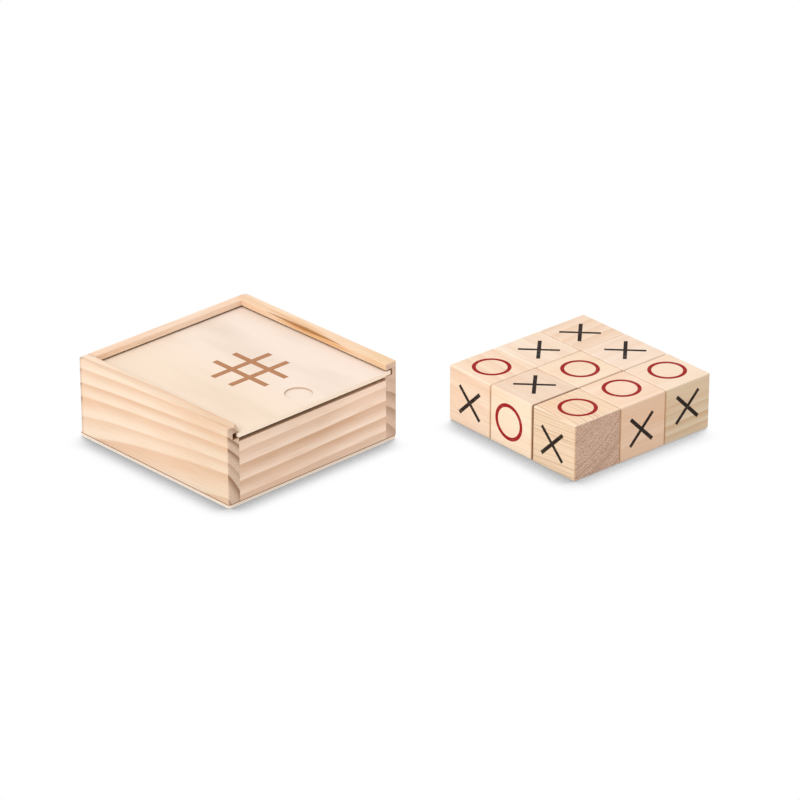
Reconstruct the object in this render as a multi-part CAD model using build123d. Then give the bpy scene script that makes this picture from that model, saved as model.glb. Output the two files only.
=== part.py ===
from build123d import *
import os

# A noughts-and-crosses set: a sliding-lid box and the nine cubes that it stores.
# Sizes are in millimetres. X runs along the front wall, Y towards the back, Z up.
# The origin is the centre of the box's underside.

# Cubes
COLUMNS = ("left", "centre", "right")
ROWS = ("front", "middle", "back")
BLOCK_SIDE = 30.0
BLOCK_EDGE_RADIUS = 0.9

# Room for the cubes inside the box
WIDTH_PLAY = 6.0
DEPTH_PLAY = 10.0
HEADROOM = 3.6

# Boards of the box
BASE_THICKNESS = 2.0
SIDE_THICKNESS = 7.0
END_THICKNESS = 5.0
LIP_HEIGHT = 3.2
FRONT_DROP = 2.0
BASE_CORNER_RADIUS = 1.5
OUTER_EDGE_RADIUS = 0.8
REAR_EDGE_RADIUS = 2.5
RIM_EDGE_RADIUS = 0.5

# Groove for the lid, in both sides and the back
SIDE_GROOVE_DEPTH = 4.0
BACK_GROOVE_DEPTH = 2.6
LEAD_IN_WIDTH = 3.4
LEAD_IN_LENGTH = 3.0

# Sliding lid
LID_THICKNESS = 2.4
LID_TOP_GAP = 0.8
LID_SIDE_PLAY = 3.6
LID_REST_GAP = 0.5
LID_BACK_GAP = 0.5
LID_CORNER_RADIUS = 0.8
LID_EDGE_RADIUS = 0.3
FINGER_RECESS_RADIUS = 7.0
FINGER_RECESS_DEPTH = 0.8
FINGER_RECESS_FROM_FRONT = 12.0

# Where the cubes stand beside the box, laid out as the board of three by three
BLOCK_GAP = 0.2
FRONT_ROW_GAP = 0.7
GROUP_FROM_SIDE = 30.8
GROUP_FORWARD = 50.6
GROUP_TURN = -2.9

# Places that follow from the sizes above
INNER_HALF_WIDTH = (len(COLUMNS) * BLOCK_SIDE + WIDTH_PLAY) / 2
INNER_HALF_DEPTH = (len(ROWS) * BLOCK_SIDE + DEPTH_PLAY) / 2
HALF_WIDTH = INNER_HALF_WIDTH + SIDE_THICKNESS
HALF_DEPTH = INNER_HALF_DEPTH + END_THICKNESS
GROOVE_BOTTOM = BASE_THICKNESS + BLOCK_SIDE + HEADROOM
GROOVE_TOP = GROOVE_BOTTOM + LID_THICKNESS + LID_TOP_GAP
WALL_TOP = GROOVE_TOP + LIP_HEIGHT
FRONT_TOP = GROOVE_BOTTOM - FRONT_DROP
GROOVE_HALF_SPAN = INNER_HALF_WIDTH + SIDE_GROOVE_DEPTH
LID_WIDTH = 2 * GROOVE_HALF_SPAN - LID_SIDE_PLAY
LID_CENTRE_X = GROOVE_HALF_SPAN - LID_REST_GAP - LID_WIDTH / 2
LID_FRONT_Y = -HALF_DEPTH
LID_BACK_Y = INNER_HALF_DEPTH + BACK_GROOVE_DEPTH - LID_BACK_GAP
LID_LENGTH = LID_BACK_Y - LID_FRONT_Y
BLOCK_PITCH = BLOCK_SIDE + BLOCK_GAP
GROUP_HALF_WIDTH = (len(COLUMNS) * BLOCK_PITCH - BLOCK_GAP) / 2
GROUP_X = HALF_WIDTH + GROUP_FROM_SIDE + GROUP_HALF_WIDTH
GROUP_Y = -HALF_DEPTH - GROUP_FORWARD

ON_ITS_UNDERSIDE = (Align.CENTER, Align.CENTER, Align.MIN)


def face_in_xz(corners):
    """A flat face in the X-Z plane from its corners."""
    outline = Polyline(*[(x, 0, z) for x, z in corners], close=True)
    return make_face(outline)


def base_panel():
    """The thin plywood bottom, glued flush under the four walls."""
    panel = Box(2 * HALF_WIDTH, 2 * HALF_DEPTH, BASE_THICKNESS, align=ON_ITS_UNDERSIDE)
    return fillet(panel.edges().filter_by(Axis.Z), BASE_CORNER_RADIUS)


def outer_uprights(wall):
    """The upright edges of a right side wall's outer face, from the front to the back."""
    return wall.edges().filter_by(Axis.Z).group_by(Axis.X)[-1].sort_by(Axis.Y)


def side_wall():
    """The right side wall: one board over the full depth, with its lid groove sawn right through."""
    section = face_in_xz([
        (INNER_HALF_WIDTH, BASE_THICKNESS),
        (HALF_WIDTH, BASE_THICKNESS),
        (HALF_WIDTH, WALL_TOP),
        (INNER_HALF_WIDTH, WALL_TOP),
        (INNER_HALF_WIDTH, GROOVE_TOP),
        (GROOVE_HALF_SPAN, GROOVE_TOP),
        (GROOVE_HALF_SPAN, GROOVE_BOTTOM),
        (INNER_HALF_WIDTH, GROOVE_BOTTOM),
    ])
    wall = extrude(section, amount=HALF_DEPTH, dir=(0, 1, 0), both=True)
    wall = fillet(outer_uprights(wall)[0], OUTER_EDGE_RADIUS)
    wall = fillet(outer_uprights(wall)[-1], REAR_EDGE_RADIUS)
    rim = wall.edges().filter_by(Axis.Y).group_by(Axis.Z)[-1]
    return fillet(rim, RIM_EDGE_RADIUS)


def lead_in():
    """The wedge sanded off the left wall's lip at the front, where the lid starts into its groove."""
    lip_face = -INNER_HALF_WIDTH
    deepest = lip_face - LEAD_IN_WIDTH
    above = WALL_TOP + RIM_EDGE_RADIUS
    mouth = face_in_xz([(lip_face, GROOVE_TOP), (lip_face, above), (deepest, above), (deepest, WALL_TOP)])
    mouth = Pos(0, -HALF_DEPTH, 0) * mouth
    run_out = Vertex(lip_face, LEAD_IN_LENGTH - HALF_DEPTH, above)
    return loft([mouth, run_out])


def end_wall(top):
    """A wall glued between the two side walls, up to the given height, on the back side."""
    board = Pos(0, INNER_HALF_DEPTH + END_THICKNESS / 2, BASE_THICKNESS) * Box(
        2 * INNER_HALF_WIDTH, END_THICKNESS, top - BASE_THICKNESS, align=ON_ITS_UNDERSIDE
    )
    rim = board.edges().filter_by(Axis.X).group_by(Axis.Z)[-1]
    return fillet(rim, RIM_EDGE_RADIUS)


def back_groove():
    """The groove across the back wall that the lid's back edge runs into."""
    middle_y = INNER_HALF_DEPTH + BACK_GROOVE_DEPTH / 2
    return Pos(0, middle_y, GROOVE_BOTTOM) * Box(
        2 * INNER_HALF_WIDTH, BACK_GROOVE_DEPTH, GROOVE_TOP - GROOVE_BOTTOM, align=ON_ITS_UNDERSIDE
    )


def sliding_lid():
    """The thin lid, pushed to the right in its grooves, with a round recess for a fingertip."""
    lid = Pos(LID_CENTRE_X, (LID_FRONT_Y + LID_BACK_Y) / 2, GROOVE_BOTTOM) * Box(
        LID_WIDTH, LID_LENGTH, LID_THICKNESS, align=ON_ITS_UNDERSIDE
    )
    lid = fillet(lid.edges().filter_by(Axis.Z), LID_CORNER_RADIUS)
    lid = fillet(lid.edges().group_by(Axis.Z)[-1], LID_EDGE_RADIUS)
    recess_floor = GROOVE_BOTTOM + LID_THICKNESS - FINGER_RECESS_DEPTH
    recess = Pos(LID_CENTRE_X, LID_FRONT_Y + FINGER_RECESS_FROM_FRONT, recess_floor) * Cylinder(
        FINGER_RECESS_RADIUS, LID_THICKNESS, align=ON_ITS_UNDERSIDE
    )
    return lid - recess


def block():
    """One wooden cube with all its edges rounded, standing on the ground."""
    cube = Box(BLOCK_SIDE, BLOCK_SIDE, BLOCK_SIDE, align=ON_ITS_UNDERSIDE)
    return fillet(cube.edges(), BLOCK_EDGE_RADIUS)


def block_place(column, row):
    """Where a cube stands in the group, counted from the front left one."""
    x = (column - (len(COLUMNS) - 1) / 2) * BLOCK_PITCH
    y = (row - (len(ROWS) - 1) / 2) * BLOCK_PITCH
    if row == 0:
        y -= FRONT_ROW_GAP - BLOCK_GAP
    return Pos(GROUP_X, GROUP_Y, 0) * Rot(0, 0, GROUP_TURN) * Pos(x, y, 0)


def all_pieces():
    """Every separate piece of the set, by its name."""
    pieces = {
        "base_panel": base_panel(),
        "right_side_wall": side_wall(),
        "left_side_wall": mirror(side_wall(), about=Plane.YZ) - lead_in(),
        "front_wall": mirror(end_wall(FRONT_TOP), about=Plane.XZ),
        "back_wall": end_wall(WALL_TOP) - back_groove(),
        "sliding_lid": sliding_lid(),
    }
    for row, row_name in enumerate(ROWS):
        for column, column_name in enumerate(COLUMNS):
            pieces[f"block_{row_name}_{column_name}"] = block_place(column, row) * block()
    return pieces


os.makedirs("parts", exist_ok=True)
for name, shape in all_pieces().items():
    shape.label = name
    export_step(shape, f"parts/{name}.step")
    size = shape.bounding_box().size
    print(f"{name}: {size.X:.1f} x {size.Y:.1f} x {size.Z:.1f} mm, {shape.volume / 1000:.1f} cm3")
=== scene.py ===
# %% [markdown]
# # A noughts-and-crosses set: a sliding-lid box and nine printed cubes
#
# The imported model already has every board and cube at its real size. This lesson gives those
# pieces their surfaces. All of them are wood, so most of the work is one good description of how
# wood grows, used again for each board with its own place in its own tree. Then come the
# prints, the light table and the camera.

# %% Load the frame
import math
from dataclasses import dataclass

import bpy
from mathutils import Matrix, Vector


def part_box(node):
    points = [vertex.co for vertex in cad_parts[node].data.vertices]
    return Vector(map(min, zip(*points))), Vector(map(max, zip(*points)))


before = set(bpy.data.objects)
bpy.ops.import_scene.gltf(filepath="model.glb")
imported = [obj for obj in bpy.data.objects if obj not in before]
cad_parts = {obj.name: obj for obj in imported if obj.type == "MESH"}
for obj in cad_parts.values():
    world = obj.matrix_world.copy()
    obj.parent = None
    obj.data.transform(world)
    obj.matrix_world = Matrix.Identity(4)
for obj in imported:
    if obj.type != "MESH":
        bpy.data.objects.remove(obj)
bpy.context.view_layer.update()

# %% [markdown]
# ## Helpers
#
# Colours are read as they look on a screen, so they have to be turned to linear light before a
# shader can use them. Patterns are worked out in millimetres, because that is how ring widths,
# fibres and strokes are measured. And a material is a net of nodes, so one function adds a
# node, sets it and links it.

# %% Colours, millimetres and nodes
MILLIMETRE = 0.001


def linear(hex_colour):
    """An sRGB colour such as #c18a64 as linear light, with full alpha."""
    channels = [int(hex_colour[i:i + 2], 16) / 255 for i in (1, 3, 5)]
    return (*[c / 12.92 if c <= 0.04045 else ((c + 0.055) / 1.055) ** 2.4 for c in channels], 1.0)


def add(tree, kind, inputs, out=0, **settings):
    """Adds one shader node, sets it, links or fills its inputs, and returns one of its outputs."""
    made = tree.nodes.new(f"ShaderNode{kind}")
    for setting, value in settings.items():
        setattr(made, setting, value)
    for place, value in inputs.items():
        if isinstance(value, bpy.types.NodeSocket):
            tree.links.new(value, made.inputs[place])
        else:
            made.inputs[place].default_value = value
    if isinstance(out, str):
        return made.outputs[out]
    return [socket for socket in made.outputs if socket.enabled][out]


print("a mid brown in linear light:", [round(c, 3) for c in linear("#c18a64")])

# %% [markdown]
# ## How a tree draws its grain
#
# A trunk is a stack of cones, one for each year, round a line called the pith. The year starts
# with pale, soft earlywood and ends with a narrow band of darker, harder latewood, and the next
# year starts pale again at once. So each ring fades in slowly and stops sharply, always on the
# side away from the pith. A board is a straight cut through that, so the lines on its faces and
# the curves on its ends have to agree.
#
# A flat stripe texture can't do this: its end would show stripes too. Here the pattern is solid.
# It measures how far a point is from the pith line, counts rings along that distance, and so
# gives straight lines, arches and end grain from the same few numbers. Every board uses the same
# two node groups for that.

# %% An empty node group, and a way to draw out a noise along the grain
FIBRE_LENGTH = 22.0
FIBRE_WIDTH = 0.55


def new_group(name, inputs, outputs):
    """An empty node group, the sockets of what it is given, and those of what it gives back."""
    group = bpy.data.node_groups.new(name, "ShaderNodeTree")
    for socket, kind in inputs.items():
        group.interface.new_socket(socket, in_out="INPUT", socket_type=f"NodeSocket{kind}")
    for socket in outputs:
        group.interface.new_socket(socket, in_out="OUTPUT", socket_type="NodeSocketFloat")
    given = group.nodes.new("NodeGroupInput").outputs
    return group, given, group.nodes.new("NodeGroupOutput").inputs


def drawn_out(group, point, length, width):
    """The point counted in lengths along the grain and in widths across it."""
    per_millimetre = (1 / length, 1 / width, 1 / width)
    return add(group, "VectorMath", {0: point, 1: per_millimetre}, operation="MULTIPLY")


print(f"a fibre is {FIBRE_LENGTH / FIBRE_WIDTH:.0f} times as long as it is wide")

# %% The trunk: the distance from the pith, fibres and patches
WANDER_ALONG = 70.0
WANDER_ACROSS = 26.0
NOISE_MIDDLE = 0.5
FIBRE_ROUGHNESS = 0.6
PATCH_LENGTH = 60.0
PATCH_WIDTH = 14.0


def trunk_group():
    """From a point, grain along its first axis, to its distance from the pith and two noises."""
    group, given, result = new_group("trunk", {
        "Point": "Vector", "Pith": "Vector", "Trunk": "Vector", "Wander": "Float", "Tree": "Float",
    }, ("Distance", "Fibres", "Patches"))

    # The trunk isn't quite straight, so a slow noise shifts the point before it is measured.
    sway = add(group, "TexNoise", {
        "Vector": drawn_out(group, given["Point"], WANDER_ALONG, WANDER_ACROSS),
        "W": given["Tree"], "Scale": 1.0, "Detail": 2.0,
    }, out="Color", noise_dimensions="4D")
    sway = add(group, "VectorMath", {0: sway, 1: (NOISE_MIDDLE,) * 3}, operation="SUBTRACT")
    sway = add(group, "VectorMath", {0: sway, "Scale": given["Wander"]}, operation="SCALE")
    point = add(group, "VectorMath", {0: given["Point"], 1: sway}, operation="ADD")

    # The distance is the length of the cross product with the pith line's direction.
    arm = add(group, "VectorMath", {0: point, 1: given["Pith"]}, operation="SUBTRACT")
    arm = add(group, "VectorMath", {0: arm, 1: given["Trunk"]}, operation="CROSS_PRODUCT")
    distance = add(group, "VectorMath", {0: arm}, operation="LENGTH")

    # Fibres are long and thin. On an end the same noise shows as fine specks.
    fibres = add(group, "TexNoise", {
        "Vector": drawn_out(group, given["Point"], FIBRE_LENGTH, FIBRE_WIDTH),
        "W": given["Tree"], "Scale": 1.0, "Detail": 2.0, "Roughness": FIBRE_ROUGHNESS,
    }, noise_dimensions="4D")
    patches = add(group, "TexNoise", {
        "Vector": drawn_out(group, given["Point"], PATCH_LENGTH, PATCH_WIDTH),
        "W": given["Tree"], "Scale": 1.0, "Detail": 1.0,
    }, noise_dimensions="4D")

    for name, socket in (("Distance", distance), ("Fibres", fibres), ("Patches", patches)):
        group.links.new(socket, result[name])
    return group


TRUNK = trunk_group()
print(f"trunk: {len(TRUNK.nodes)} nodes")

# %% The year: pale for most of it, then dark, then pale at once
DARKEST = 0.93


def year_group():
    """From a count of years to latewood: nought in spring wood, one where a year ends."""
    group, given, result = new_group("year", {"Count": "Float", "Crisp": "Float"}, ("Latewood",))
    phase = add(group, "Math", {0: given["Count"]}, operation="FRACT")
    rise = add(group, "MapRange", {
        "Value": phase, "From Max": DARKEST,
    }, interpolation_type="SMOOTHSTEP")
    rise = add(group, "Math", {0: rise, 1: given["Crisp"]}, operation="POWER")
    fall = add(group, "MapRange", {"Value": phase, "From Min": 1.0, "From Max": DARKEST})
    latewood = add(group, "Math", {0: rise, 1: fall}, operation="MULTIPLY")
    group.links.new(latewood, result["Latewood"])
    return group


YEAR = year_group()
print(f"year: {len(YEAR.nodes)} nodes")

# %% [markdown]
# ## Where a board was cut
#
# Each board needs to know which way its grain runs, where the pith lay from it, how that line
# leaned, how wide the rings are, and its two colours. Across is the level direction square to
# the grain. The place of the pith is in millimetres, and often outside the board, because a
# board is far smaller than a trunk. Where a wall shows few and clear lines, the distances at
# which its years ended are listed, in place of one width for all.

# %% The facts of one cut
@dataclass
class Cut:
    """Where a board or cube was in its tree, and the colours of its wood."""

    grain: str
    pith: tuple
    lean: tuple = (0.0, 0.0)
    early: str = "#f0d5bc"
    late: str = "#d9ab84"
    ring: float = 7.0
    start: float = 0.0
    years: tuple = ()
    depths: tuple = ()
    end_early: str = "#d6b69e"
    end_late: str = "#c09b80"
    tree: float = 0.0
    contrast: float = 1.0
    crisp: float = 1.0
    wander: float = 2.0
    uneven: float = 0.5
    fibre: float = 1.0
    patch: float = 1.0
    patch_tint: str = "#f6d3b4"
    speck: float = 0.12
    end_from: float = 0.5
    end_crisp: float = 1.0
    quiet: float = 0.35
    palest: float = 0.65


def parts_of(tree, point):
    """The three parts of a point, as sockets."""
    return add(tree, "SeparateXYZ", {0: point}).node.outputs


def in_grain_order(tree, cut, point):
    """The point with its parts put in the order along the grain, across it, up."""
    parts = parts_of(tree, point)
    along, across = ("X", "Y") if cut.grain == "X" else ("Y", "X")
    return add(tree, "CombineXYZ", {0: parts[along], 1: parts[across], 2: parts["Z"]})


print("a cut has:", ", ".join(Cut.__dataclass_fields__))

# %% Counting its years
SEASON = 0.55


def steady_years(tree, cut, distance):
    """The count of years, and how dark this one ends, in a tree whose years were much alike."""
    count = add(tree, "Math", {0: distance, 1: cut.ring}, operation="DIVIDE")

    # A slow noise makes some years wider than others, and no two of them end equally dark.
    season = add(tree, "Math", {0: count, 1: SEASON, 2: cut.tree}, operation="MULTIPLY_ADD")
    season = add(tree, "TexNoise", {
        "W": season, "Scale": 1.0, "Detail": 1.0,
    }, noise_dimensions="1D")
    season = add(tree, "Math", {0: season, 1: cut.uneven, 2: cut.start}, operation="MULTIPLY_ADD")
    count = add(tree, "Math", {0: count, 1: season}, operation="ADD")
    year = add(tree, "Math", {0: count}, operation="FLOOR")
    year = add(tree, "Math", {0: year, 1: cut.tree}, operation="ADD")
    year = add(tree, "TexWhiteNoise", {"W": year}, noise_dimensions="1D")
    return count, add(tree, "MapRange", {"Value": year, "To Min": cut.palest})


def listed_years(tree, cut, distance):
    """The same from a list: at which distance each year ended, and how dark."""
    count, depth = 0.0, 0.0
    for begins, ends, dark in zip(cut.years, cut.years[1:], cut.depths):
        year = add(tree, "MapRange", {"Value": distance, "From Min": begins, "From Max": ends})
        count = add(tree, "Math", {0: year, 1: count}, operation="ADD")
        begun = add(tree, "Math", {0: distance, 1: begins}, operation="GREATER_THAN")
        depth = add(tree, "Mix", {"Factor": begun, "A": depth, "B": dark})
    return count, depth


print(f"wide and narrow years take turns every {1 / SEASON:.1f} years or so")

# %% [markdown]
# ## From rings to a colour
#
# Along the grain the latewood is a warm tan line, with fine darker fibres and slow patches over
# it. On an end the cut fibres swallow light, so it is darker, browner and speckled, and the rings
# stand out more. A solid board needs both. Plywood needs only the first, because its ends are
# the edges of veneers.

# %% Wood along its fibres
QUIET_STARTS, QUIET_FULL = 0.4, 0.6
PATCH_STARTS, PATCH_FULL = 0.45, 0.75
PATCH_MOST = 0.35
FIBRE_STARTS, FIBRE_FULL = 0.5, 0.8
FIBRE_MOST = 0.3
FIBRE_TINT = "#bb9270"


def long_grain(tree, cut, point):
    """The colour of sanded wood along its fibres, with its latewood and its fibres."""
    trunk = add(tree, "Group", {
        "Point": in_grain_order(tree, cut, point), "Pith": (0.0, *cut.pith),
        "Trunk": Vector((1.0, *cut.lean)).normalized(), "Wander": cut.wander, "Tree": cut.tree,
    }, node_tree=TRUNK).node.outputs
    count_years = listed_years if cut.years else steady_years
    count, depth = count_years(tree, cut, trunk["Distance"])
    late = add(tree, "Group", {"Count": count, "Crisp": cut.crisp}, node_tree=YEAR)
    late = add(tree, "Math", {0: late, 1: depth}, operation="MULTIPLY")

    # In some stretches the rings hardly show.
    clear = add(tree, "MapRange", {
        "Value": trunk["Patches"], "From Min": QUIET_STARTS, "From Max": QUIET_FULL,
        "To Min": cut.contrast, "To Max": cut.contrast * (1 - cut.quiet),
    })
    shade = add(tree, "Math", {0: late, 1: clear}, operation="MULTIPLY")
    colour = add(tree, "Mix", {
        0: shade, 6: linear(cut.early), 7: linear(cut.late),
    }, data_type="RGBA")
    patch = add(tree, "MapRange", {
        "Value": trunk["Patches"], "From Min": PATCH_STARTS, "From Max": PATCH_FULL,
        "To Max": PATCH_MOST * cut.patch,
    })
    colour = add(tree, "Mix", {
        0: patch, 6: colour, 7: linear(cut.patch_tint),
    }, data_type="RGBA", blend_type="MULTIPLY")
    streak = add(tree, "MapRange", {
        "Value": trunk["Fibres"], "From Min": FIBRE_STARTS, "From Max": FIBRE_FULL,
        "To Max": FIBRE_MOST * cut.fibre,
    })
    colour = add(tree, "Mix", {0: streak, 6: colour, 7: linear(FIBRE_TINT)}, data_type="RGBA")
    return colour, late, trunk["Fibres"]


print(f"fibres {FIBRE_LENGTH} x {FIBRE_WIDTH} mm, patches {PATCH_LENGTH} x {PATCH_WIDTH} mm")

# %% The same wood with its ends
END_SPAN = 0.45
SPECK_STARTS, SPECK_FULL = 0.35, 0.65


def end_grain(tree, cut, turn):
    """One where the surface is cut across the fibres, nought where it runs along them."""
    facing = add(tree, "TexCoord", {}, out="Normal")
    direction = Vector((math.cos(turn), math.sin(turn), 0))
    if cut.grain == "Y":
        direction = Vector((-direction.y, direction.x, 0))
    square_on = add(tree, "VectorMath", {0: facing, 1: direction}, operation="DOT_PRODUCT")
    square_on = add(tree, "Math", {0: square_on}, operation="ABSOLUTE")
    return add(tree, "MapRange", {
        "Value": square_on, "From Min": cut.end_from, "From Max": cut.end_from + END_SPAN,
    }, interpolation_type="SMOOTHSTEP")


def wood(tree, cut, point, turn=0.0, worn=0.0):
    """The colour of a solid board at a point in millimetres, ends and all, and its fibres."""
    colour, late, fibres = long_grain(tree, cut, point)
    speck = add(tree, "MapRange", {
        "Value": fibres, "From Min": SPECK_STARTS, "From Max": SPECK_FULL,
        "To Min": 1 - cut.speck, "To Max": 1 + cut.speck,
    })
    late = add(tree, "Math", {0: late, 1: cut.end_crisp}, operation="POWER")
    end = add(tree, "Mix", {
        0: late, 6: linear(cut.end_early), 7: linear(cut.end_late),
    }, data_type="RGBA")
    end = add(tree, "VectorMath", {0: end, "Scale": speck}, operation="SCALE")
    across = add(tree, "Math", {0: end_grain(tree, cut, turn), 1: worn}, operation="MAXIMUM")
    colour = add(tree, "Mix", {0: across, 6: colour, 7: end}, data_type="RGBA")
    return colour, fibres


full_end = math.degrees(math.acos(Cut.end_from + END_SPAN))
print(f"a face is all end grain within {full_end:.0f} degrees of square to the fibres")

# %% [markdown]
# ## Bare sanded wood as a material
#
# Sanded wood without varnish is matt: light sinks in between the fibres and comes out in all
# directions. So it is rough, with a typical IOR and hardly any gloss. The fibres stand a few
# hundredths of a millimetre proud, which a bump is enough for.

# %% Making a material and putting it on a piece
WOOD_ROUGHNESS = 0.66
WOOD_IOR = 1.5
WOOD_GLOSS = 0.1
FIBRE_RELIEF = 0.05 * MILLIMETRE


def new_material(name):
    """An empty material with its shader in place."""
    material = bpy.data.materials.new(name)
    material.use_nodes = True
    return material


def point_in_millimetres(tree):
    """The place on the piece, in the frame's own axes. It moves with the piece."""
    place = add(tree, "TexCoord", {}, out="Object")
    return add(tree, "VectorMath", {0: place, "Scale": 1 / MILLIMETRE}, operation="SCALE")


def surface(material, colour, fibres):
    """Bare sanded wood of a colour, with its fibres in relief."""
    tree = material.node_tree
    bumped = add(tree, "Bump", {"Height": fibres, "Strength": 1.0, "Distance": FIBRE_RELIEF})
    shader = tree.nodes["Principled BSDF"]
    shader.inputs["Roughness"].default_value = WOOD_ROUGHNESS
    shader.inputs["IOR"].default_value = WOOD_IOR
    shader.inputs["Specular IOR Level"].default_value = WOOD_GLOSS
    tree.links.new(colour, shader.inputs["Base Color"])
    tree.links.new(bumped, shader.inputs["Normal"])


def dress(node, material):
    """Gives a piece of the frame its material."""
    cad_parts[node].material_slots[0].material = material
    print(f"{node}: {material.name}")


# %% [markdown]
# ## The walls: plantation pine, planed, grooved and sanded
#
# The four walls are cut from quick-grown pine: rings four to nine millimetres wide, a cream
# earlywood and a tan latewood that isn't much darker. On the left wall the lines climb towards
# the front, and on its end they fall outwards. Both are what one pith does that lies outside the
# box, low down, and leans. The front wall's pith lay far below it, so its lines are level and
# its latewood is broad.

# %% How the four walls were cut
HALF_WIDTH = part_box("base_panel")[1].x / MILLIMETRE
HALF_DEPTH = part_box("base_panel")[1].y / MILLIMETRE

WALLS = {
    "left_side_wall": Cut(
        grain="Y", pith=(-107.0, -17.5), lean=(-0.104, 0.027), tree=3.0, wander=1.2, crisp=1.4,
        years=(39.0, 46.0, 52.5, 59.5, 63.5, 69.0, 73.5, 78.5, 83.5, 90.0),
        depths=(0.6, 0.8, 1.0, 0.7, 1.0, 1.0, 0.8, 0.7, 0.5), contrast=0.65,
        early="#ecd4bc", late="#d3a47e", end_early="#d6b9a2", end_late="#9c775d", end_from=0.1,
        end_crisp=2.2,
    ),
    "right_side_wall": Cut(
        grain="Y", pith=(25.0, -20.0), lean=(0.01, 0.02), tree=11.0, wander=1.2, contrast=0.7,
        years=(24.0, 32.0, 40.0, 47.5, 54.5, 61.0, 67.0, 73.0),
        depths=(0.8, 0.9, 1.0, 1.0, 0.4, 0.4, 0.5),
        early="#eed3b6", late="#d3a67e", end_early="#d9bfb1", end_late="#b79a88", end_crisp=1.5,
    ),
    "front_wall": Cut(
        grain="X", pith=(-HALF_DEPTH - 20.0, -35.0), lean=(0.0, 0.017), tree=21.0, wander=1.6,
        years=(30.0, 38.0, 45.5, 52.5, 60.5, 67.5, 75.0), depths=(0.6, 0.65, 0.9, 1.0, 0.6, 0.45),
        early="#f8deca", late="#cea381", crisp=0.8, contrast=0.9, fibre=1.5,
    ),
    "back_wall": Cut(
        grain="X", pith=(HALF_DEPTH + 25.0, -20.0), lean=(0.0, 0.01), ring=6.5, start=0.5,
        early="#efd4bc", late="#d6ac8c", tree=33.0, contrast=0.5, fibre=1.6,
    ),
}
print(f"the box is {2 * HALF_WIDTH:.0f} x {2 * HALF_DEPTH:.0f} mm, with {len(WALLS)} walls")

# %% [markdown]
# ## Marks that lie over the grain
#
# Tools, hands and time left marks on the walls. They could be painted on as a picture, but that
# needs an unwrapping for each piece and is coarse close by. Here each mark, and the painted shade
# too, is worked out from the place on the wall, mostly with a band between two heights or a slow
# fade to one end.

# %% Bands and fades
BAND_SOFT = 0.06


def band(tree, value, low, high):
    """One between two values, nought outside them."""
    above = add(tree, "MapRange", {
        "Value": value, "From Min": low - BAND_SOFT, "From Max": low + BAND_SOFT,
    })
    below = add(tree, "MapRange", {
        "Value": value, "From Min": high + BAND_SOFT, "From Max": high - BAND_SOFT,
    })
    return add(tree, "Math", {0: above, 1: below}, operation="MULTIPLY")


def fade(tree, colour, value, start, end, tint):
    """The colour, tinted more and more as a value goes from one number to another."""
    share = add(tree, "MapRange", {
        "Value": value, "From Min": start, "From Max": end,
    }, interpolation_type="SMOOTHSTEP")
    return add(tree, "Mix", {
        0: share, 6: colour, 7: linear(tint),
    }, data_type="RGBA", blend_type="MULTIPLY")


# Painted shade: three walls are a little darker towards one end, where less light falls on
# them, and the right one also a little yellower.
FADES = {
    "left_side_wall": ("Y", 5.0, -50.0, "#f7f6f3"),
    "front_wall": ("X", 35.0, 0.0, "#f4f2ef"),
    "right_side_wall": ("Y", -28.0, -48.0, "#faf3e7"),
}
for wall_name, (axis, start, end, _) in FADES.items():
    print(f"{wall_name} changes along {axis} from {start} to {end} mm")

# %% [markdown]
# ## Resin
#
# Pine bleeds resin, which turns it amber. A thread of it runs along the right wall's lip, with
# broad pale stains round it. A streak is a line with a reach, so the distance from that line
# draws it, and a reach that shrinks towards both ends gives it the shape of a spindle.

# %% Resin in the right wall
RESIN_THREAD = 0.05
RESIN_CORE = 0.2
HALF_WAY = 0.5

# Each streak has two ends, its reach half way between them and a tint.
RESIN = (
    ((48.0, 32.0, 41.7), (48.0, -24.0, 41.7), 1.8, "#ba9f7c"),
    ((48.0, 26.0, 40.2), (48.0, -34.0, 40.2), 3.2, "#f5debc"),
    ((50.5, 34.0, 42.0), (50.5, -12.0, 42.0), 4.5, "#f9eadc"),
)


def resin(tree, colour, point, start, end, reach, tint):
    """The colour with a streak of resin from one point to another, widest half way."""
    run = Vector(end) - Vector(start)
    from_start = add(tree, "VectorMath", {0: point, 1: start}, operation="SUBTRACT")
    share = add(tree, "VectorMath", {
        0: from_start, 1: run / run.length_squared,
    }, out="Value", operation="DOT_PRODUCT")
    nearest = add(tree, "VectorMath", {0: run, "Scale": share}, operation="SCALE")
    away = add(tree, "VectorMath", {
        0: from_start, 1: nearest,
    }, out="Value", operation="DISTANCE")

    # It thins out to a thread at its ends and stops there.
    from_middle = add(tree, "Math", {0: share, 1: HALF_WAY}, operation="SUBTRACT")
    from_middle = add(tree, "Math", {0: from_middle}, operation="ABSOLUTE")
    wide = add(tree, "MapRange", {
        "Value": from_middle, "From Min": HALF_WAY, "From Max": 0.0,
        "To Min": RESIN_THREAD, "To Max": reach,
    })
    depth = add(tree, "Math", {0: away, 1: wide}, operation="DIVIDE")
    depth = add(tree, "MapRange", {"Value": depth, "From Min": 1.0, "From Max": RESIN_CORE})
    between = add(tree, "Math", {0: from_middle, 1: HALF_WAY}, operation="LESS_THAN")
    depth = add(tree, "Math", {0: depth, 1: between}, operation="MULTIPLY")
    return add(tree, "Mix", {
        0: depth, 6: colour, 7: linear(tint),
    }, data_type="RGBA", blend_type="MULTIPLY")


for start, end, reach, tint in RESIN:
    print(f"resin, {(Vector(end) - Vector(start)).length:.0f} mm long, {reach} mm to each side")
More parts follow.
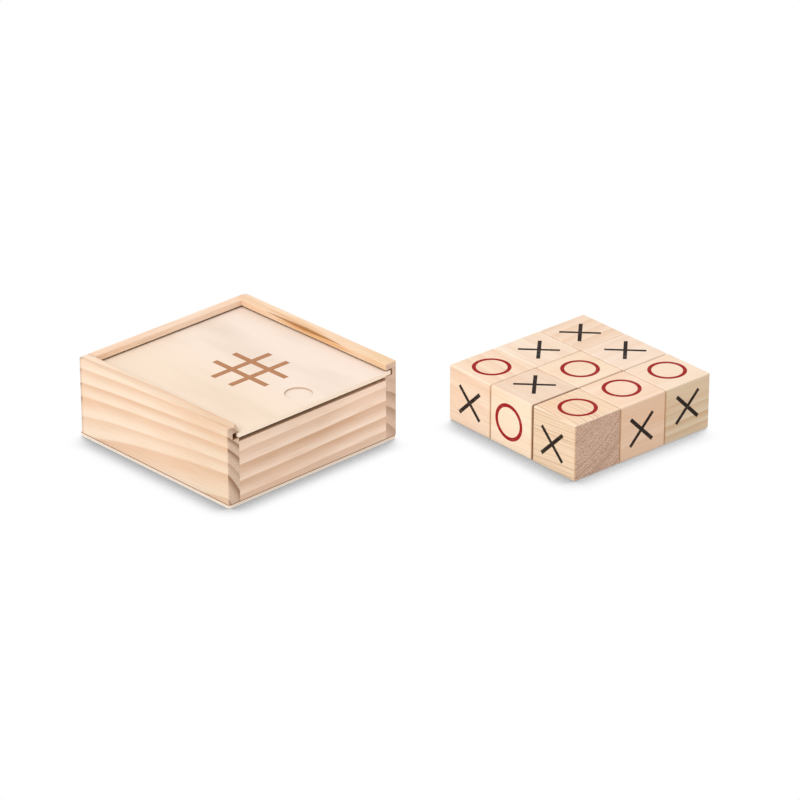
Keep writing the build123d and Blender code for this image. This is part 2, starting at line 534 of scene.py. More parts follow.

# %% [markdown]
# ## Painted shade in the grooves, and rounded corners
#
# The insides of the grooves and the front wall's top, which the lid passes over, lie in deep
# shade, and that shade is painted on them as a dull brown. The rear corners were rounded over,
# which cuts the fibres, so they look like an end. All of these are found by where they are on
# the wall.

# %% Painted shade on hidden faces, and corners worn round
GROOVE_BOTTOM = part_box("sliding_lid")[0].z / MILLIMETRE
GROOVE_HEIGHT = 3.2
SIDE_BEHIND_GROOVE = 3.0
BACK_BEHIND_GROOVE = 2.4
FRONT_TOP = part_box("front_wall")[1].z / MILLIMETRE
WORN_CORNER = 3.5
JUST = 0.15


def never_sanded(tree, wall_name, parts):
    """One on the faces that get painted shade: in the grooves, and on the front wall's top."""
    if wall_name == "front_wall":
        return add(tree, "Math", {0: parts["Z"], 1: FRONT_TOP - JUST}, operation="GREATER_THAN")
    in_groove = band(tree, parts["Z"], GROOVE_BOTTOM - JUST, GROOVE_BOTTOM + GROOVE_HEIGHT + JUST)
    if wall_name == "back_wall":
        sideways, deepest = "Y", HALF_DEPTH - BACK_BEHIND_GROOVE
    else:
        sideways, deepest = "X", HALF_WIDTH - SIDE_BEHIND_GROOVE
    far = add(tree, "Math", {0: parts[sideways]}, operation="ABSOLUTE")
    inside = add(tree, "Math", {0: far, 1: deepest + JUST}, operation="LESS_THAN")
    return add(tree, "Math", {0: in_groove, 1: inside}, operation="MULTIPLY")


def worn_corner(tree, parts):
    """One on the rounded rear corners, where the fibres are cut and the lines end in notches."""
    out = add(tree, "Math", {0: parts["X"]}, operation="ABSOLUTE")
    out = add(tree, "Math", {0: out, 1: HALF_WIDTH - WORN_CORNER / 2}, operation="GREATER_THAN")
    back = add(tree, "MapRange", {
        "Value": parts["Y"],
        "From Min": HALF_DEPTH - WORN_CORNER, "From Max": HALF_DEPTH - WORN_CORNER / 2,
    })
    return add(tree, "Math", {0: out, 1: back}, operation="MULTIPLY")


print(f"grooves from {GROOVE_BOTTOM:.1f} mm up, the front wall's top at {FRONT_TOP:.1f} mm")

# %% Dress the four walls
# Painted shade: the colours of the faces in deep shade, in the grooves and on the front wall's
# top.
SAWN = {
    "left_side_wall": "#98714f",
    "right_side_wall": "#a3805f",
    "front_wall": "#caa68a",
    "back_wall": "#86664a",
}

# Painted shade: the front wall's top under the lid is darker towards the left, where less
# light comes in.
SAWN_FADE = (45.0, -5.0, "#d5d5d0")

for wall_name, wall_cut in WALLS.items():
    pine = new_material(f"pine, planed and sanded, {wall_name.replace('_', ' ')}")
    pine_tree = pine.node_tree
    pine_point = point_in_millimetres(pine_tree)
    pine_parts = parts_of(pine_tree, pine_point)
    rounded_off = worn_corner(pine_tree, pine_parts)
    grown, fibres = wood(pine_tree, wall_cut, pine_point, worn=rounded_off)
    if wall_name == "right_side_wall":
        for streak in RESIN:
            grown = resin(pine_tree, grown, pine_point, *streak)
    # Painted shade: the wall darkens towards one end.
    if wall_name in FADES:
        axis, start, end, tint = FADES[wall_name]
        grown = fade(pine_tree, grown, pine_parts[axis], start, end, tint)
    # Painted shade over the faces in the grooves and on the front wall's top.
    rough = never_sanded(pine_tree, wall_name, pine_parts)
    sawn = linear(SAWN[wall_name])
    if wall_name == "front_wall":
        sawn = fade(pine_tree, sawn, pine_parts["X"], *SAWN_FADE)
    grown = add(pine_tree, "Mix", {0: rough, 6: grown, 7: sawn}, data_type="RGBA")
    surface(pine, grown, fibres)
    dress(wall_name, pine)

# %% [markdown]
# ## The bottom: three-ply, glued on under the walls
#
# Plywood is veneers with their grain crossed. From above it is a plain pale sheet. At its edge
# the middle veneer shows its end grain, so it is a little darker, and the glue between the
# bottom and the walls is a thin brown line.

# %% The base panel
BASE_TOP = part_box("base_panel")[1].z / MILLIMETRE
BASE_VENEER = 0.5
GLUE_LINE = 0.55
VENEERS = (
    ("outer", 0.0, BASE_TOP, "#f6ebde"),
    ("core", BASE_VENEER, BASE_TOP - GLUE_LINE - BASE_VENEER / 2, "#eed7c0"),
    ("glue", BASE_TOP - GLUE_LINE, BASE_TOP, "#a07455"),
)
BASE_CUT = Cut(
    grain="X", pith=(10.0, -400.0), lean=(0.0, 0.01), ring=9.0, tree=41.0,
    early="#f4e6d4", late="#e6cfb4", contrast=0.6, wander=6.0, fibre=0.6,
)
NEARLY_UPRIGHT = 0.5


def facing_sideways(tree):
    """One on the upright faces of a panel, nought on its top and underside."""
    facing = add(tree, "TexCoord", {}, out="Normal")
    upward = add(tree, "Math", {0: parts_of(tree, facing)["Z"]}, operation="ABSOLUTE")
    return add(tree, "Math", {0: upward, 1: NEARLY_UPRIGHT}, operation="LESS_THAN")


base_ply = new_material("three-ply, light poplar")
base_tree = base_ply.node_tree
base_point = point_in_millimetres(base_tree)
base_height = parts_of(base_tree, base_point)["Z"]
base_colour, _, base_fibres = long_grain(base_tree, BASE_CUT, base_point)
base_edge = facing_sideways(base_tree)
for veneer, low, high, tint in VENEERS:
    showing = band(base_tree, base_height, low, high)
    showing = add(base_tree, "Math", {0: showing, 1: base_edge}, operation="MULTIPLY")
    base_colour = add(base_tree, "Mix", {
        0: showing, 6: base_colour, 7: linear(tint),
    }, data_type="RGBA")
    print(f"{veneer} shows on the edge from {low:.2f} to {high:.2f} mm up")
surface(base_ply, base_colour, base_fibres)
dress("base_panel", base_ply)

# %% [markdown]
# ## The lid: fine plywood with a round recess
#
# The lid's face veneer was peeled off a log like paper off a roll, so it has almost no lines,
# only long faint grey streaks the way the lid slides. The recess for a fingertip is cut into
# the veneers, and painted shade makes its wall darker than the faces.

# %% The lid's veneer and its upright faces
LID_CUT = Cut(
    grain="Y", pith=(30.0, -600.0), lean=(0.01, 0.0), ring=14.0, start=0.3, tree=64.0,
    early="#eddbcd", late="#dccab8", contrast=0.25, wander=14.0, fibre=0.2,
    patch=1.1, patch_tint="#e3ded3",
)
YELLOWED = "#fdfaf1"
YELLOW_STARTS_X, YELLOW_FULL_X = 25.0, -35.0
LID_EDGE = "#f5e0cb"
RECESS_CENTRE = (1.3, -43.0, 0.0)
RECESS_RADIUS = 7.0
RECESS_WALL = "#c8b19a"

lid_ply = new_material("three-ply, peeled basswood, laser-burnt")
lid_tree = lid_ply.node_tree
lid_point = point_in_millimetres(lid_tree)
lid_colour, _, lid_fibres = long_grain(lid_tree, LID_CUT, lid_point)
lid_parts = parts_of(lid_tree, lid_point)
flat_point = add(lid_tree, "CombineXYZ", {0: lid_parts["X"], 1: lid_parts["Y"]})
from_recess = add(lid_tree, "VectorMath", {
    0: flat_point, 1: RECESS_CENTRE,
}, out="Value", operation="DISTANCE")
in_recess = add(lid_tree, "Math", {
    0: from_recess, 1: RECESS_RADIUS + JUST,
}, operation="LESS_THAN")

# The veneer is a little yellower towards its left side.
lid_colour = fade(
    lid_tree, lid_colour, lid_parts["X"], YELLOW_STARTS_X, YELLOW_FULL_X, YELLOWED,
)
# Painted shade on the recess wall; the lid's other upright faces keep a pale edge colour.
upright = add(lid_tree, "Mix", {
    0: in_recess, 6: linear(LID_EDGE), 7: linear(RECESS_WALL),
}, data_type="RGBA")
lid_colour = add(lid_tree, "Mix", {
    0: facing_sideways(lid_tree), 6: lid_colour, 7: upright,
}, data_type="RGBA")
print(f"the recess is {2 * RECESS_RADIUS:.0f} mm wide, {HALF_DEPTH + RECESS_CENTRE[1]:.0f} mm in")

# %% [markdown]
# ## Painted shade on the margins
#
# The margins of the lid run in the grooves of the walls, in the shade under their lips. That
# shade is painted on, and so is a thin shadow line low down on its edges. Both only darken what
# is there, so they multiply the veneer's colour, and its streaks still show.

# %% Painted shade and a painted shadow line on the margins
SIDE_THICKNESS = 7.0
END_THICKNESS = 5.0
LIP_X = HALF_WIDTH - SIDE_THICKNESS
LIP_Y = HALF_DEPTH - END_THICKNESS
CLEAN_FRONT = 1.0
# Painted shade on the margins and the left edge, and a painted shadow line low down.
RUBBED = "#f0e2d2"
RUBBED_EDGE = "#b0957c"
DUST = "#b4967c"
DUST_HEIGHT = 0.4

# Painted shade: all but the front edge is shaded, and the left edge, deep in its groove, is
# darker than the faces.
aside = add(lid_tree, "Math", {0: lid_parts["X"]}, operation="ABSOLUTE")
beside = add(lid_tree, "Math", {0: aside, 1: LIP_X}, operation="GREATER_THAN")
behind = add(lid_tree, "Math", {0: lid_parts["Y"], 1: LIP_Y}, operation="GREATER_THAN")
margin = add(lid_tree, "Math", {0: beside, 1: behind}, operation="MAXIMUM")
past_front = add(lid_tree, "Math", {
    0: lid_parts["Y"], 1: CLEAN_FRONT - HALF_DEPTH,
}, operation="GREATER_THAN")
margin = add(lid_tree, "Math", {0: margin, 1: past_front}, operation="MULTIPLY")
left_edge = add(lid_tree, "Math", {0: lid_parts["X"], 1: -LIP_X}, operation="LESS_THAN")
left_edge = add(lid_tree, "Math", {
    0: left_edge, 1: facing_sideways(lid_tree),
}, operation="MULTIPLY")
rubbed = add(lid_tree, "Mix", {
    0: left_edge, 6: linear(RUBBED), 7: linear(RUBBED_EDGE),
}, data_type="RGBA")
lid_colour = add(lid_tree, "Mix", {
    0: margin, 6: lid_colour, 7: rubbed,
}, data_type="RGBA", blend_type="MULTIPLY")

# Painted shadow: a dark line along the lowest veneer, where the lid rests on the floor of its
# grooves.
low_down = add(lid_tree, "Math", {
    0: lid_parts["Z"], 1: GROOVE_BOTTOM + DUST_HEIGHT,
}, operation="LESS_THAN")
dusty = add(lid_tree, "Math", {0: beside, 1: low_down}, operation="MULTIPLY")
lid_colour = add(lid_tree, "Mix", {
    0: dusty, 6: lid_colour, 7: linear(DUST),
}, data_type="RGBA", blend_type="MULTIPLY")
print(f"rubbed beyond {LIP_X:.0f} mm to either side and {LIP_Y:.0f} mm back")

# %% [markdown]
# ## The burnt grid
#
# The board of the game, four crossing strokes, is burnt into the lid by a laser: a warm brown,
# a little darker along each edge where the beam turned. A stroke is a plain oblong, so the
# distance to its outline is enough to draw it and its darker rim.

# %% Where the four strokes are
GRID_CENTRE = (2.5, -7.0)
GRID_SIZE = 38.0
GRID_STROKE = 3.2


def outside_stroke(tree, along, across, middle):
    """How far a point is outside one straight stroke of the grid, less than nought inside."""
    sideways = add(tree, "Math", {0: across, 1: middle}, operation="SUBTRACT")
    sideways = add(tree, "Math", {0: sideways}, operation="ABSOLUTE")
    sideways = add(tree, "Math", {0: sideways, 1: GRID_STROKE / 2}, operation="SUBTRACT")
    beyond = add(tree, "Math", {0: along}, operation="ABSOLUTE")
    beyond = add(tree, "Math", {0: beyond, 1: GRID_SIZE / 2}, operation="SUBTRACT")
    return add(tree, "Math", {0: sideways, 1: beyond}, operation="MAXIMUM")


lid_x = add(lid_tree, "Math", {0: lid_parts["X"], 1: GRID_CENTRE[0]}, operation="SUBTRACT")
lid_y = add(lid_tree, "Math", {0: lid_parts["Y"], 1: GRID_CENTRE[1]}, operation="SUBTRACT")

# The strokes part the grid in thirds, so each is a sixth of its size from the middle.
grid = None
for along, across in ((lid_x, lid_y), (lid_y, lid_x)):
    for side in (-1, 1):
        stroke = outside_stroke(lid_tree, along, across, side * GRID_SIZE / 6)
        if grid is None:
            grid = stroke
        else:
            grid = add(lid_tree, "Math", {0: grid, 1: stroke}, operation="MINIMUM")
print(f"a grid of {GRID_SIZE} mm, with strokes {GRID_STROKE} mm wide")

# %% Burn them into the lid
BURNT = "#b27e5a"
BURNT_EDGE = "#a06b48"
BURN_DEPTH = 0.05
BURN_SOFT = 0.06
BURN_RIM_STARTS, BURN_RIM_FULL = -0.55, -0.05
SMOKE = 0.1
SMOKE_STARTS, SMOKE_FULL = 0.3, 0.7

lid_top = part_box("sliding_lid")[1].z / MILLIMETRE
on_top = add(lid_tree, "Math", {
    0: lid_parts["Z"], 1: lid_top - BURN_DEPTH,
}, operation="GREATER_THAN")
burn = add(lid_tree, "MapRange", {"Value": grid, "From Min": BURN_SOFT, "From Max": -BURN_SOFT})
burn = add(lid_tree, "Math", {0: burn, 1: on_top}, operation="MULTIPLY")
rim = add(lid_tree, "MapRange", {
    "Value": grid, "From Min": BURN_RIM_STARTS, "From Max": BURN_RIM_FULL,
})
brown = add(lid_tree, "Mix", {0: rim, 6: linear(BURNT), 7: linear(BURNT_EDGE)}, data_type="RGBA")
smoke = add(lid_tree, "MapRange", {
    "Value": lid_fibres, "From Min": SMOKE_STARTS, "From Max": SMOKE_FULL,
    "To Min": 1 - SMOKE, "To Max": 1 + SMOKE,
})
brown = add(lid_tree, "VectorMath", {0: brown, "Scale": smoke}, operation="SCALE")
lid_colour = add(lid_tree, "Mix", {0: burn, 6: lid_colour, 7: brown}, data_type="RGBA")
surface(lid_ply, lid_colour, lid_fibres)
dress("sliding_lid", lid_ply)

# %% [markdown]
# ## The cubes: offcuts of the same wood, tumbled smooth and pad-printed
#
# Each cube was sawn from a stick, so two of its faces are end grain and stay bare. The four
# others are printed, crosses in black and noughts in red, opposite faces alike. The printer
# didn't hit the middle of every face. No two cubes have the same grain, and most are plain: a
# few show rings. So each cube gets facts of its own: a cut, its prints and the painted shade of
# some faces.

# %% The facts of one cube
@dataclass
class Cube:
    """A cube's mark on top, its wood, how far its prints sit off the middle, and its painted
    shades.

    Seam shade is painted shade on the edges of its front or back face, the back if the side is
    one.
    """

    top: str
    cut: Cut
    top_off: tuple = (0.0, 0.0)
    side_off: tuple = (0.0, 0.0)
    top_tint: str = "#ffffff"
    side_tint: str = "#ffffff"
    grime: float = 0.0
    grimy_side: int = 1


print("a cube has:", ", ".join(Cube.__dataclass_fields__))

# %% Which cube was cut how
# The columns run left to right and the rows front to back. The pith's place is from the cube's
# own middle.
CUBES = {
    "front_left": Cube("nought", Cut(
        "Y", (-34.0, 49.0), (-0.14, -0.14), "#eed2b5", "#b07f55", ring=1.5, start=0.2,
        end_early="#c2a18c", end_late="#9c785f", tree=61.0, contrast=0.8, crisp=2.2, wander=0.8,
        uneven=0.9, speck=0.32, quiet=0.6, palest=0.05,
    ), top_off=(-0.1, -0.6), side_off=(1.2, -0.6), side_tint="#f7f8f6", grime=0.55),
    "front_centre": Cube("nought", Cut(
        "X", (30.0, -60.0), (0.0, 0.02), "#f0d5be", "#e3bd9a", ring=9.0, start=0.1, tree=62.0,
        contrast=0.4,
    ), top_off=(0.4, 1.0), side_off=(-1.0, -0.8), side_tint="#ece4dc", grime=0.2),
    "front_right": Cube("nought", Cut(
        "X", (0.0, -70.0), (0.0, 0.03), "#f0dbc5", "#cf9e6c", tree=63.0, contrast=0.75,
        years=(50.0, 57.0, 62.0, 67.0, 73.0, 77.0, 99.0), depths=(0.5, 0.6, 0.8, 0.5, 0.4, 0.3),
    ), top_off=(1.1, 1.1), side_off=(-0.3, 1.6), side_tint="#e1dfd5"),
    "middle_left": Cube("cross", Cut(
        "Y", (50.0, 40.0), (0.0, 0.03), "#f4dcc2", "#e6c7a8", ring=8.0, start=0.6, tree=64.0,
        contrast=0.25,
    ), top_off=(1.4, 1.1), side_off=(1.5, -0.5), top_tint="#f3f0f3", grime=0.55, grimy_side=-1),
    "middle_centre": Cube("nought", Cut(
        "X", (-30.0, -50.0), (0.05, 0.0), "#efd8bf", "#e6c4a4", ring=7.0, start=0.3, tree=65.0,
        contrast=0.35,
    ), top_off=(0.1, -0.4), grime=0.2, grimy_side=-1),
    "middle_right": Cube("cross", Cut(
        "X", (45.0, 45.0), (0.0, 0.05), "#edd8c5", "#e0c0a4", ring=8.0, start=0.8, tree=66.0,
        contrast=0.35,
    ), top_off=(1.5, 0.6)),
    "back_left": Cube("nought", Cut(
        "Y", (-40.0, -12.0), (0.05, 0.05), "#f0d7bf", "#e2b896", ring=7.0, start=0.5, tree=67.0,
        contrast=0.5,
    ), top_off=(-1.1, -0.6), side_off=(0.0, -0.8)),
    "back_centre": Cube("cross", Cut(
        "Y", (35.0, -50.0), (-0.05, 0.0), "#eedac6", "#e2c2a4", ring=7.5, start=0.2, tree=68.0,
        contrast=0.35,
    ), top_off=(-0.3, -1.2)),
    "back_right": Cube("cross", Cut(
        "X", (-25.0, 40.0), (0.06, 0.0), "#ebd2bb", "#d9b08c", ring=6.0, start=0.7, tree=69.0,
        contrast=0.45,
    ), top_off=(-1.4, 0.1)),
}
OTHER_MARK = {"nought": "cross", "cross": "nought"}
crosses = sum(cube.top == "cross" for cube in CUBES.values())
print(f"{crosses} crosses and {len(CUBES) - crosses} noughts lie on top")

# %% [markdown]
# ## Drawing the marks
#
# A mark is worked out from the distance to its outline, in millimetres on the face. A nought is
# the points near one radius. A cross is found by turning the face's two directions by an eighth:
# of the two new distances the shorter one has to be inside the stroke's width, and the longer
# one inside its length.

# %% The two marks
STROKE = 2.0
CROSS_LENGTH = 20.9
NOUGHT_DIAMETER = 19.6
INK_SOFT = 0.06
ROOT_HALF = math.sqrt(0.5)


def mark_mask(tree, kind, a, b):
    """One inside the ink of a mark centred on a face, whose two directions are a and b."""
    if kind == "nought":
        flat = add(tree, "CombineXYZ", {0: a, 1: b})
        far = add(tree, "VectorMath", {0: flat}, operation="LENGTH")
        off = add(tree, "Math", {0: far, 1: (NOUGHT_DIAMETER - STROKE) / 2}, operation="SUBTRACT")
        off = add(tree, "Math", {0: off}, operation="ABSOLUTE")
        outside = add(tree, "Math", {0: off, 1: STROKE / 2}, operation="SUBTRACT")
    else:
        rising = add(tree, "Math", {0: a, 1: b}, operation="ADD")
        falling = add(tree, "Math", {0: a, 1: b}, operation="SUBTRACT")
        rising = add(tree, "Math", {0: rising}, operation="ABSOLUTE")
        falling = add(tree, "Math", {0: falling}, operation="ABSOLUTE")
        short = add(tree, "Math", {0: rising, 1: falling}, operation="MINIMUM")
        long = add(tree, "Math", {0: rising, 1: falling}, operation="MAXIMUM")
        short = add(tree, "Math", {
            0: short, 1: ROOT_HALF, 2: -STROKE / 2,
        }, operation="MULTIPLY_ADD")
        long = add(tree, "Math", {
            0: long, 1: ROOT_HALF, 2: -CROSS_LENGTH / 2,
        }, operation="MULTIPLY_ADD")
        outside = add(tree, "Math", {0: short, 1: long}, operation="MAXIMUM")
    return add(tree, "MapRange", {"Value": outside, "From Min": INK_SOFT, "From Max": -INK_SOFT})


print(f"noughts {NOUGHT_DIAMETER} mm wide, crosses {CROSS_LENGTH} mm long, strokes {STROKE} mm")

# %% [markdown]
# ## Printing them
#
# A soft pad lays the ink on, thin and matt, so a little of the wood's fibre shows in it. Each
# mark is on two opposite faces. A print has no thickness here: the colour changes wherever a
# point lies close under one of the two faces, which may also get painted shade, darker than the
# others.

# %% A mark printed on two opposite faces
INK = {"nought": "#98060d", "cross": "#1a100c"}
INK_COVER = 0.99
INK_LEAST = 0.74
INK_THINS, INK_THINNEST = 0.55, 0.8
CUBE_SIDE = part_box("block_front_left")[1].z / MILLIMETRE
PRINT_REACH = 0.4


def printed(tree, colour, fibres, kind, parts, normal_axis, off, tint):
    """The colour with painted shade on the two faces square to an axis, and a mark printed on
    them.
    """
    a, b = [
        add(tree, "Math", {0: parts[axis], 1: aside}, operation="SUBTRACT")
        for axis, aside in zip([axis for axis in range(3) if axis != normal_axis], off)
    ]
    ink = mark_mask(tree, kind, a, b)
    height = add(tree, "Math", {0: parts[normal_axis]}, operation="ABSOLUTE")
    here = add(tree, "Math", {
        0: height, 1: CUBE_SIDE / 2 - PRINT_REACH,
    }, operation="GREATER_THAN")
    cover = add(tree, "MapRange", {
        "Value": fibres, "From Min": INK_THINS, "From Max": INK_THINNEST,
        "To Min": INK_COVER, "To Max": INK_LEAST,
    })
    # Painted shade: the tint darkens the two faces, as if less light fell on them.
    colour = add(tree, "Mix", {
        0: here, 6: colour, 7: linear(tint),
    }, data_type="RGBA", blend_type="MULTIPLY")
    ink = add(tree, "Math", {0: ink, 1: here}, operation="MULTIPLY")
    ink = add(tree, "Math", {0: ink, 1: cover}, operation="MULTIPLY")
    return add(tree, "Mix", {0: ink, 6: colour, 7: linear(INK[kind])}, data_type="RGBA")


print(f"the cubes are {CUBE_SIDE:.0f} mm wide")

# %% [markdown]
# ## Tumbled edges, painted highlight and painted shade
#
# Tumbling rounds the edges. The level ones get a painted highlight, paler than the faces, and
# the upright ones painted shade where the cubes stand close together. On an edge the surface
# faces between two directions, and that finds it. The seam behind the front row is the widest,
# and painted shade darkens its borders.

# %% Rounded edges, and painted shade in the seam
ARRIS_STARTS, ARRIS_FULL = 0.99, 0.93
LEVEL_ENOUGH = 0.25
# Painted highlight on the level edges, painted shade on the upright ones.
ARRIS_PALE = (True, "#fdeedd", 0.22)
ARRIS_SOILED = (False, "#c89f72", 0.4)
# Painted shade in the seams between the rows.
GRIME = "#845224"
GRIME_STARTS, GRIME_FULL = 0.6, 0.2
GRIME_WIDTH, GRIME_SOLID = 1.4, 0.8


def on_arris(tree, turn, level):
    """One on the rounded edges of a cube, the level ones or the upright ones."""
    facing = add(tree, "TexCoord", {}, out="Normal")
    facing = add(tree, "VectorRotate", {"Vector": facing, "Axis": (0, 0, 1), "Angle": -turn})
    facing = parts_of(tree, add(tree, "VectorMath", {0: facing}, operation="ABSOLUTE"))
    most = add(tree, "Math", {0: facing["X"], 1: facing["Y"]}, operation="MAXIMUM")
    most = add(tree, "Math", {0: most, 1: facing["Z"]}, operation="MAXIMUM")
    slanted = add(tree, "MapRange", {
        "Value": most, "From Min": ARRIS_STARTS, "From Max": ARRIS_FULL,
    })
    compare = "GREATER_THAN" if level else "LESS_THAN"
    rising = add(tree, "Math", {0: facing["Z"], 1: LEVEL_ENOUGH}, operation=compare)
    return add(tree, "Math", {0: slanted, 1: rising}, operation="MULTIPLY")


def grimy_edge(tree, parts, side):
    """One along the edges of a cube's front or back face, nought over the rest of the cube."""
    half = CUBE_SIDE / 2
    towards = add(tree, "Math", {0: parts["Y"], 1: side}, operation="MULTIPLY")
    near = add(tree, "MapRange", {
        "Value": towards, "From Min": half - GRIME_STARTS, "From Max": half - GRIME_FULL,
    })
    aside = add(tree, "Math", {0: parts["X"]}, operation="ABSOLUTE")
    up = add(tree, "Math", {0: parts["Z"]}, operation="ABSOLUTE")
    out = add(tree, "Math", {0: aside, 1: up}, operation="MAXIMUM")
    border = add(tree, "MapRange", {
        "Value": out, "From Min": half - GRIME_WIDTH, "From Max": half - GRIME_SOLID,
    })
    return add(tree, "Math", {0: near, 1: border}, operation="MULTIPLY")


print(f"grime {GRIME_WIDTH} mm wide on {sum(cube.grime > 0 for cube in CUBES.values())} cubes")

# %% Where the cubes stand
def middle(node):
    """The middle of a piece's box, in metres."""
    low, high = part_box(node)
    return (low + high) / 2


row_direction = middle("block_front_right") - middle("block_front_left")
GROUP_TURN = math.atan2(row_direction.y, row_direction.x)
print(f"the cubes stand {math.degrees(GROUP_TURN):.1f} degrees askew of the box")

# %% Dress the nine cubes
for cube_name, cube in CUBES.items():
    cube_node = f"block_{cube_name}"
    cube_wood = new_material(f"pine offcut, tumbled and printed, {cube_name.replace('_', ' ')}")
    cube_tree = cube_wood.node_tree
    cube_place = add(cube_tree, "VectorMath", {
        0: point_in_millimetres(cube_tree), 1: middle(cube_node) / MILLIMETRE,
    }, operation="SUBTRACT")
    cube_place = add(cube_tree, "VectorRotate", {
        "Vector": cube_place, "Axis": (0, 0, 1), "Angle": -GROUP_TURN,
    })
    cube_colour, cube_fibres = wood(cube_tree, cube.cut, cube_place, GROUP_TURN)
    cube_parts = parts_of(cube_tree, cube_place)
    side_axis = 1 if cube.cut.grain == "X" else 0
    # Each mark comes with the painted shade of its two faces.
    for mark, face_axis, off, tint in (
        (cube.top, 2, cube.top_off, cube.top_tint),
        (OTHER_MARK[cube.top], side_axis, cube.side_off, cube.side_tint),
    ):
        cube_colour = printed(
            cube_tree, cube_colour, cube_fibres, mark, cube_parts, face_axis, off, tint,
        )
    for level, tint, strength in (ARRIS_PALE, ARRIS_SOILED):
        rounded = on_arris(cube_tree, GROUP_TURN, level)
        rounded = add(cube_tree, "Math", {0: rounded, 1: strength}, operation="MULTIPLY")
        cube_colour = add(cube_tree, "Mix", {
            0: rounded, 6: cube_colour, 7: linear(tint),
        }, data_type="RGBA")
    # Painted shade along the edges by the seam between the rows.
    if cube.grime:
        grimy = grimy_edge(cube_tree, cube_parts, cube.grimy_side)
        grimy = add(cube_tree, "Math", {0: grimy, 1: cube.grime}, operation="MULTIPLY")
        cube_colour = add(cube_tree, "Mix", {
            0: grimy, 6: cube_colour, 7: linear(GRIME),
        }, data_type="RGBA")
    surface(cube_wood, cube_colour, cube_fibres)
    dress(cube_node, cube_wood)

# %% [markdown]
# ## The light table
#
# The set stands on a white sheet lit from within, the usual way to get a background with no
# horizon. The sheet is a plain white floor that glows a little. The soft shadow close to the
# object is painted: the glow dims where the set is near, looking towards the back right, so the
# painted shadow falls to the front. By the cubes that direction is lower and more to the right
# than by the box.

# %% A floor under the set
FLOOR_HALF = 3.0

corners = [
    (-FLOOR_HALF, -FLOOR_HALF, 0), (FLOOR_HALF, -FLOOR_HALF, 0),
    (FLOOR_HALF, FLOOR_HALF, 0), (-FLOOR_HALF, FLOOR_HALF, 0),
]
floor_mesh = bpy.data.meshes.new("light table")
floor_mesh.from_pydata(corners, [], [(0, 1, 2, 3)])
floor = bpy.data.objects.new("light_table", floor_mesh)
bpy.context.scene.collection.objects.link(floor)
print(f"a floor of {2 * FLOOR_HALF:.0f} m")

# %% Its glow and the painted soft shadow
SHEET_LIGHT = 1.0
SHADOW_REACH = 0.014
SHADOW_FROM = (0.7, 0.71, 0.35)
SHADOW_FROM_AT_CUBES = (0.8, 0.57, 0.17)
CUBES_BEGIN_X = 0.07
SHADOW_SAMPLES = 8
SHADOW_DEEPEST = 0.45
SHADOW_FADE = 3.0
SHADOW_TINT = "#919090"
WHITE = (1.0, 1.0, 1.0, 1.0)
BLACK = (0.0, 0.0, 0.0, 1.0)

opal = new_material("opal sheet, lit from below")
opal_tree = opal.node_tree
sheet_place = add(opal_tree, "TexCoord", {}, out="Object")
at_cubes = add(opal_tree, "Math", {
    0: parts_of(opal_tree, sheet_place)["X"], 1: CUBES_BEGIN_X,
}, operation="GREATER_THAN")
towards_light = add(opal_tree, "Mix", {
    0: at_cubes, 4: SHADOW_FROM, 5: SHADOW_FROM_AT_CUBES,
}, data_type="VECTOR")
towards_light = add(opal_tree, "VectorMath", {0: towards_light}, operation="NORMALIZE")
open_sky = add(opal_tree, "AmbientOcclusion", {
    "Distance": SHADOW_REACH, "Normal": towards_light,
}, out="AO", samples=SHADOW_SAMPLES)
# Painted shadow: the sheet's glow dims near the set.
shadow = add(opal_tree, "MapRange", {
    "Value": open_sky, "From Min": 1.0, "From Max": SHADOW_DEEPEST,
})
shadow = add(opal_tree, "Math", {0: shadow, 1: SHADOW_FADE}, operation="POWER")
glow = add(opal_tree, "Mix", {0: shadow, 6: WHITE, 7: linear(SHADOW_TINT)}, data_type="RGBA")

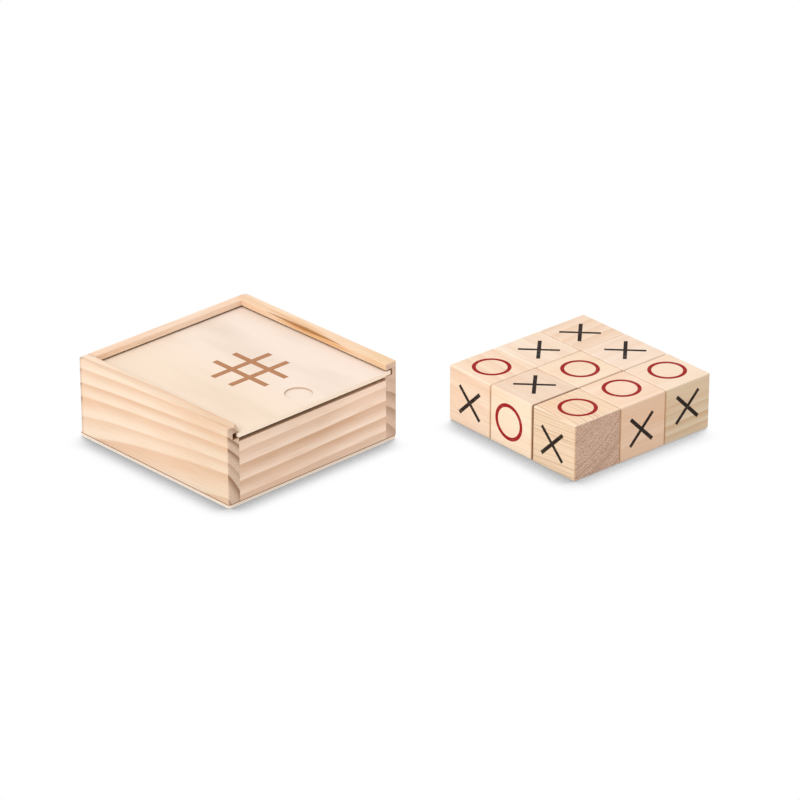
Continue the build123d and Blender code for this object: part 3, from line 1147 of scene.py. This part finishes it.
opal_shader = opal_tree.nodes["Principled BSDF"]
opal_shader.inputs["Base Color"].default_value = BLACK
opal_shader.inputs["Specular IOR Level"].default_value = 0.0
opal_tree.links.new(glow, opal_shader.inputs["Emission Color"])
opal_shader.inputs["Emission Strength"].default_value = SHEET_LIGHT
floor_mesh.materials.append(opal)
print(f"the sheet dims within {SHADOW_REACH / MILLIMETRE:.0f} mm of the set")

# %% [markdown]
# ## Surround and lamp
#
# A white surround fills in from everywhere, and one large soft lamp on the left makes the left
# faces and the tops brighter than the right ones.

# %% Light the set
SURROUND = 0.97
LAMP_PLACE = Vector((-2.4, -0.3, 2.0))
LAMP_SIZE = 1.6
LAMP_POWER = 34.0
LOOK_AT = Vector((0.08555, -0.02566, 0.0))

surround = bpy.data.worlds.new("white surround")
surround.use_nodes = True
background = surround.node_tree.nodes["Background"]
background.inputs["Color"].default_value = WHITE
background.inputs["Strength"].default_value = SURROUND
bpy.context.scene.world = surround

softbox = bpy.data.lights.new("softbox", "AREA")
softbox.shape = "SQUARE"
softbox.size = LAMP_SIZE
softbox.energy = LAMP_POWER


def place_towards_set(name, data, place):
    """Puts a lamp or a camera at a place, turned towards the middle of the set."""
    made = bpy.data.objects.new(name, data)
    made.location = place
    made.rotation_mode = "QUATERNION"
    made.rotation_quaternion = (LOOK_AT - place).to_track_quat("-Z", "Y")
    bpy.context.scene.collection.objects.link(made)
    return made


place_towards_set("softbox", softbox, LAMP_PLACE)
print(f"lamp {(LOOK_AT - LAMP_PLACE).length:.2f} m from the set")

# %% [markdown]
# ## The camera
#
# A long lens from two metres away flattens the corners, as in a catalogue picture. Its place and
# direction come from fitting the corners of the box and the cubes. The sensor is 36 mm wide, so
# the length of the lens follows from the picture's scale in pixels.

# %% Camera
PICTURE_WIDTH = 800
PIXELS_FOCAL = 4338.5
CAMERA_PLACE = Vector((-1.264, -1.4331, 0.9494))
SENSOR_WIDTH = 36.0

lens = bpy.data.cameras.new("camera")
lens.sensor_width = SENSOR_WIDTH
lens.lens = PIXELS_FOCAL * SENSOR_WIDTH / PICTURE_WIDTH
bpy.context.scene.camera = place_towards_set("camera", lens, CAMERA_PLACE)
bpy.context.scene.view_settings.view_transform = "Standard"
print(f"lens {lens.lens:.1f} mm, {(LOOK_AT - CAMERA_PLACE).length:.2f} m away")
